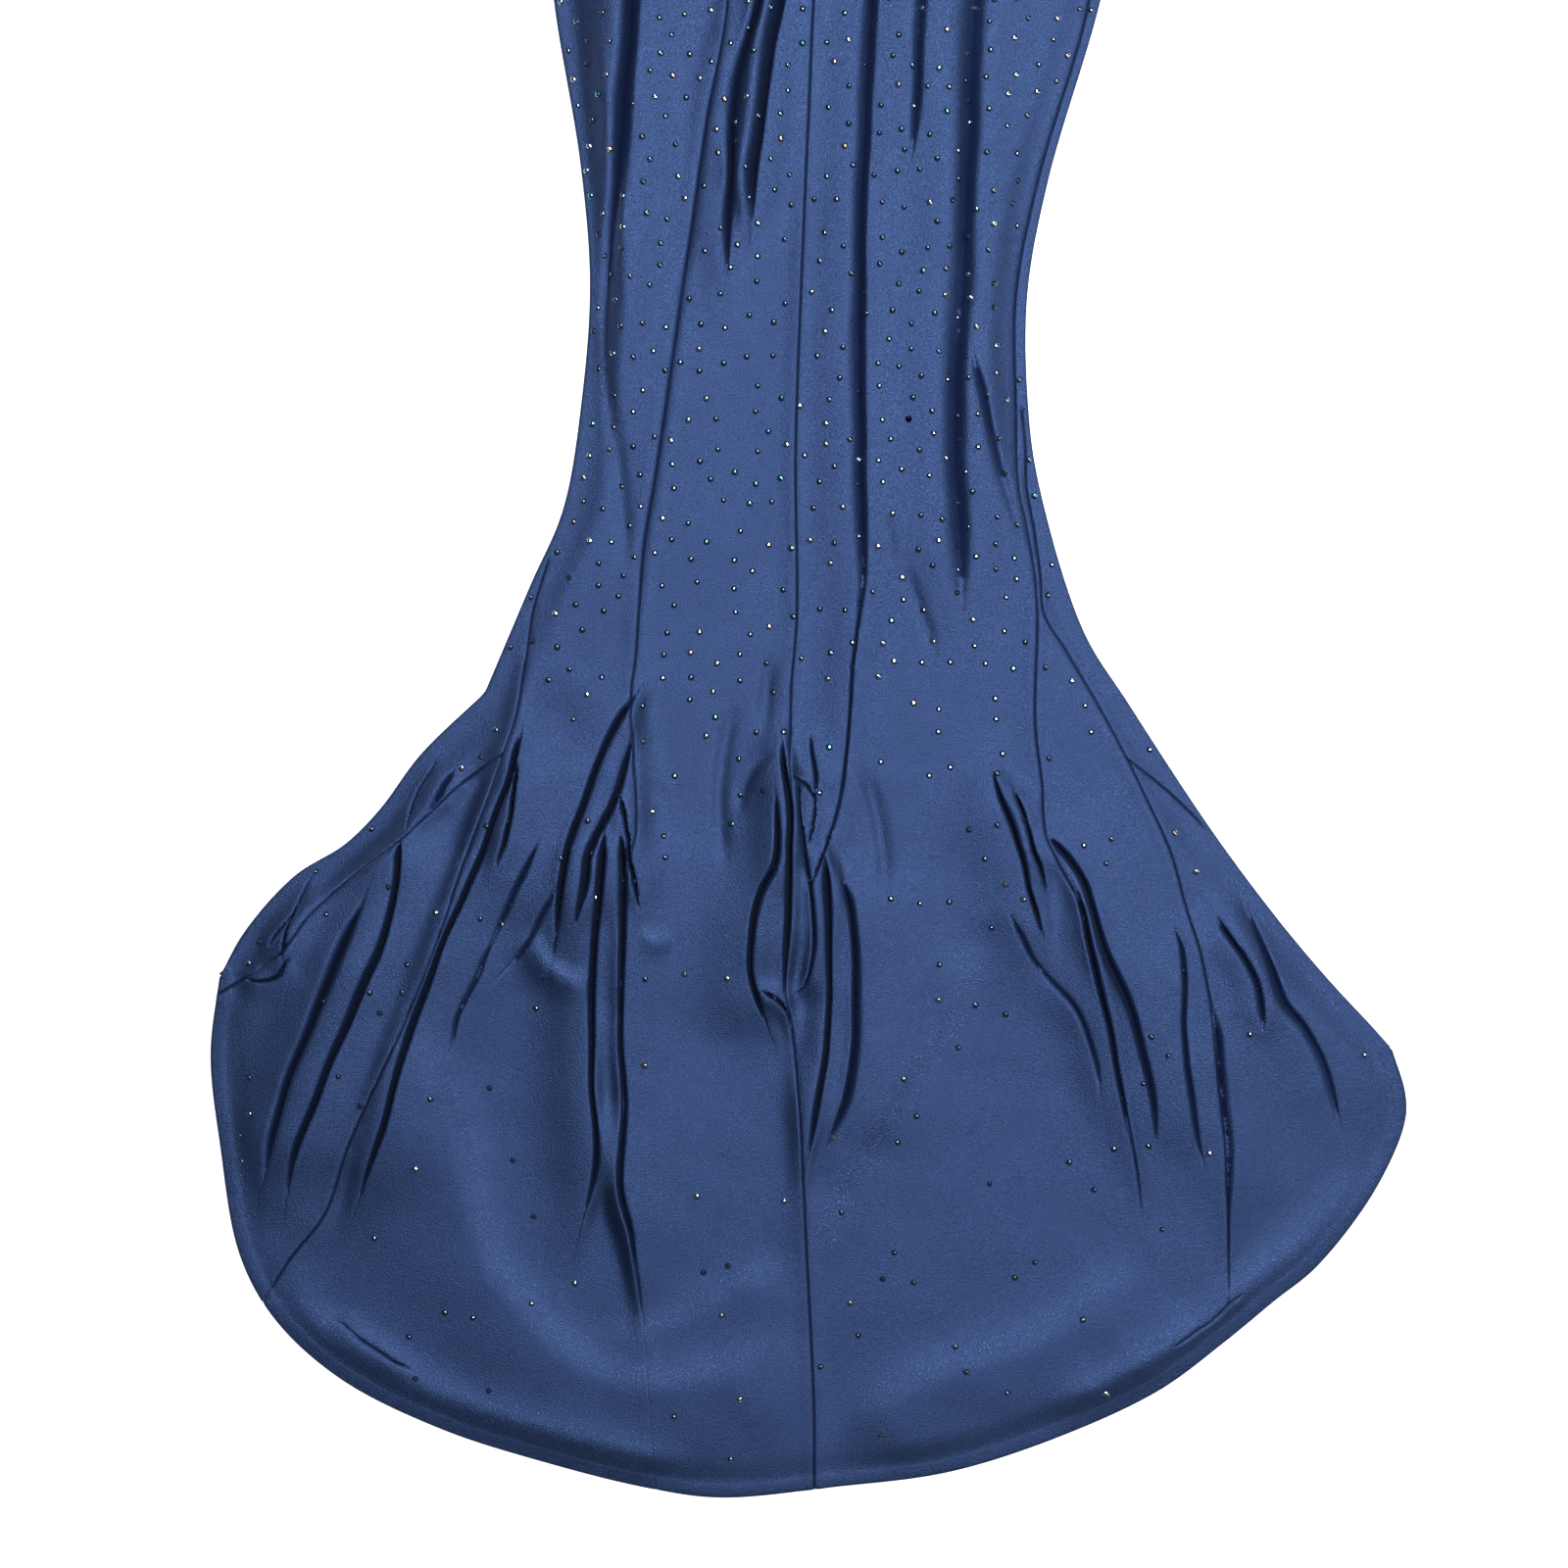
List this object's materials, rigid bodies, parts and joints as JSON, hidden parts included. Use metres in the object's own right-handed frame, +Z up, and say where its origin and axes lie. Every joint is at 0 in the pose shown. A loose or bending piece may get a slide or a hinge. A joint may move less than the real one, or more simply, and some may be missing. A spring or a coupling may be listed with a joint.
{
  "type": "evening gown",
  "caption": "Fitted sleeveless gown in stretch jersey, flaring from the knee into a rounded train, laid flat on its front in long soft folds.",
  "frame": {"origin": "bottom centre of the bounding box, on the surface that the gown lies on", "axes": "+Z up from that surface, +Y from the train's hem towards the shoulders, +X to the right as seen from above with the shoulders at the top"},
  "size_m": [1.0242, 2.02, 0.0288],
  "materials": {
    "front_jersey": "satin-faced navy stretch jersey",
    "back_left_centre_jersey": "satin-faced navy stretch jersey",
    "back_right_centre_jersey": "satin-faced navy stretch jersey",
    "back_left_side_jersey": "satin-faced navy stretch jersey",
    "back_right_side_jersey": "satin-faced navy stretch jersey",
    "godet_left_jersey": "satin-faced navy stretch jersey",
    "godet_right_jersey": "satin-faced navy stretch jersey"
  },
  "bodies": {
    "root": {"front": "front_jersey", "back_left_centre": "back_left_centre_jersey", "back_right_centre": "back_right_centre_jersey", "back_left_side": "back_left_side_jersey", "back_right_side": "back_right_side_jersey", "godet_left": "godet_left_jersey", "godet_right": "godet_right_jersey"}
  },
  "joints": []
}
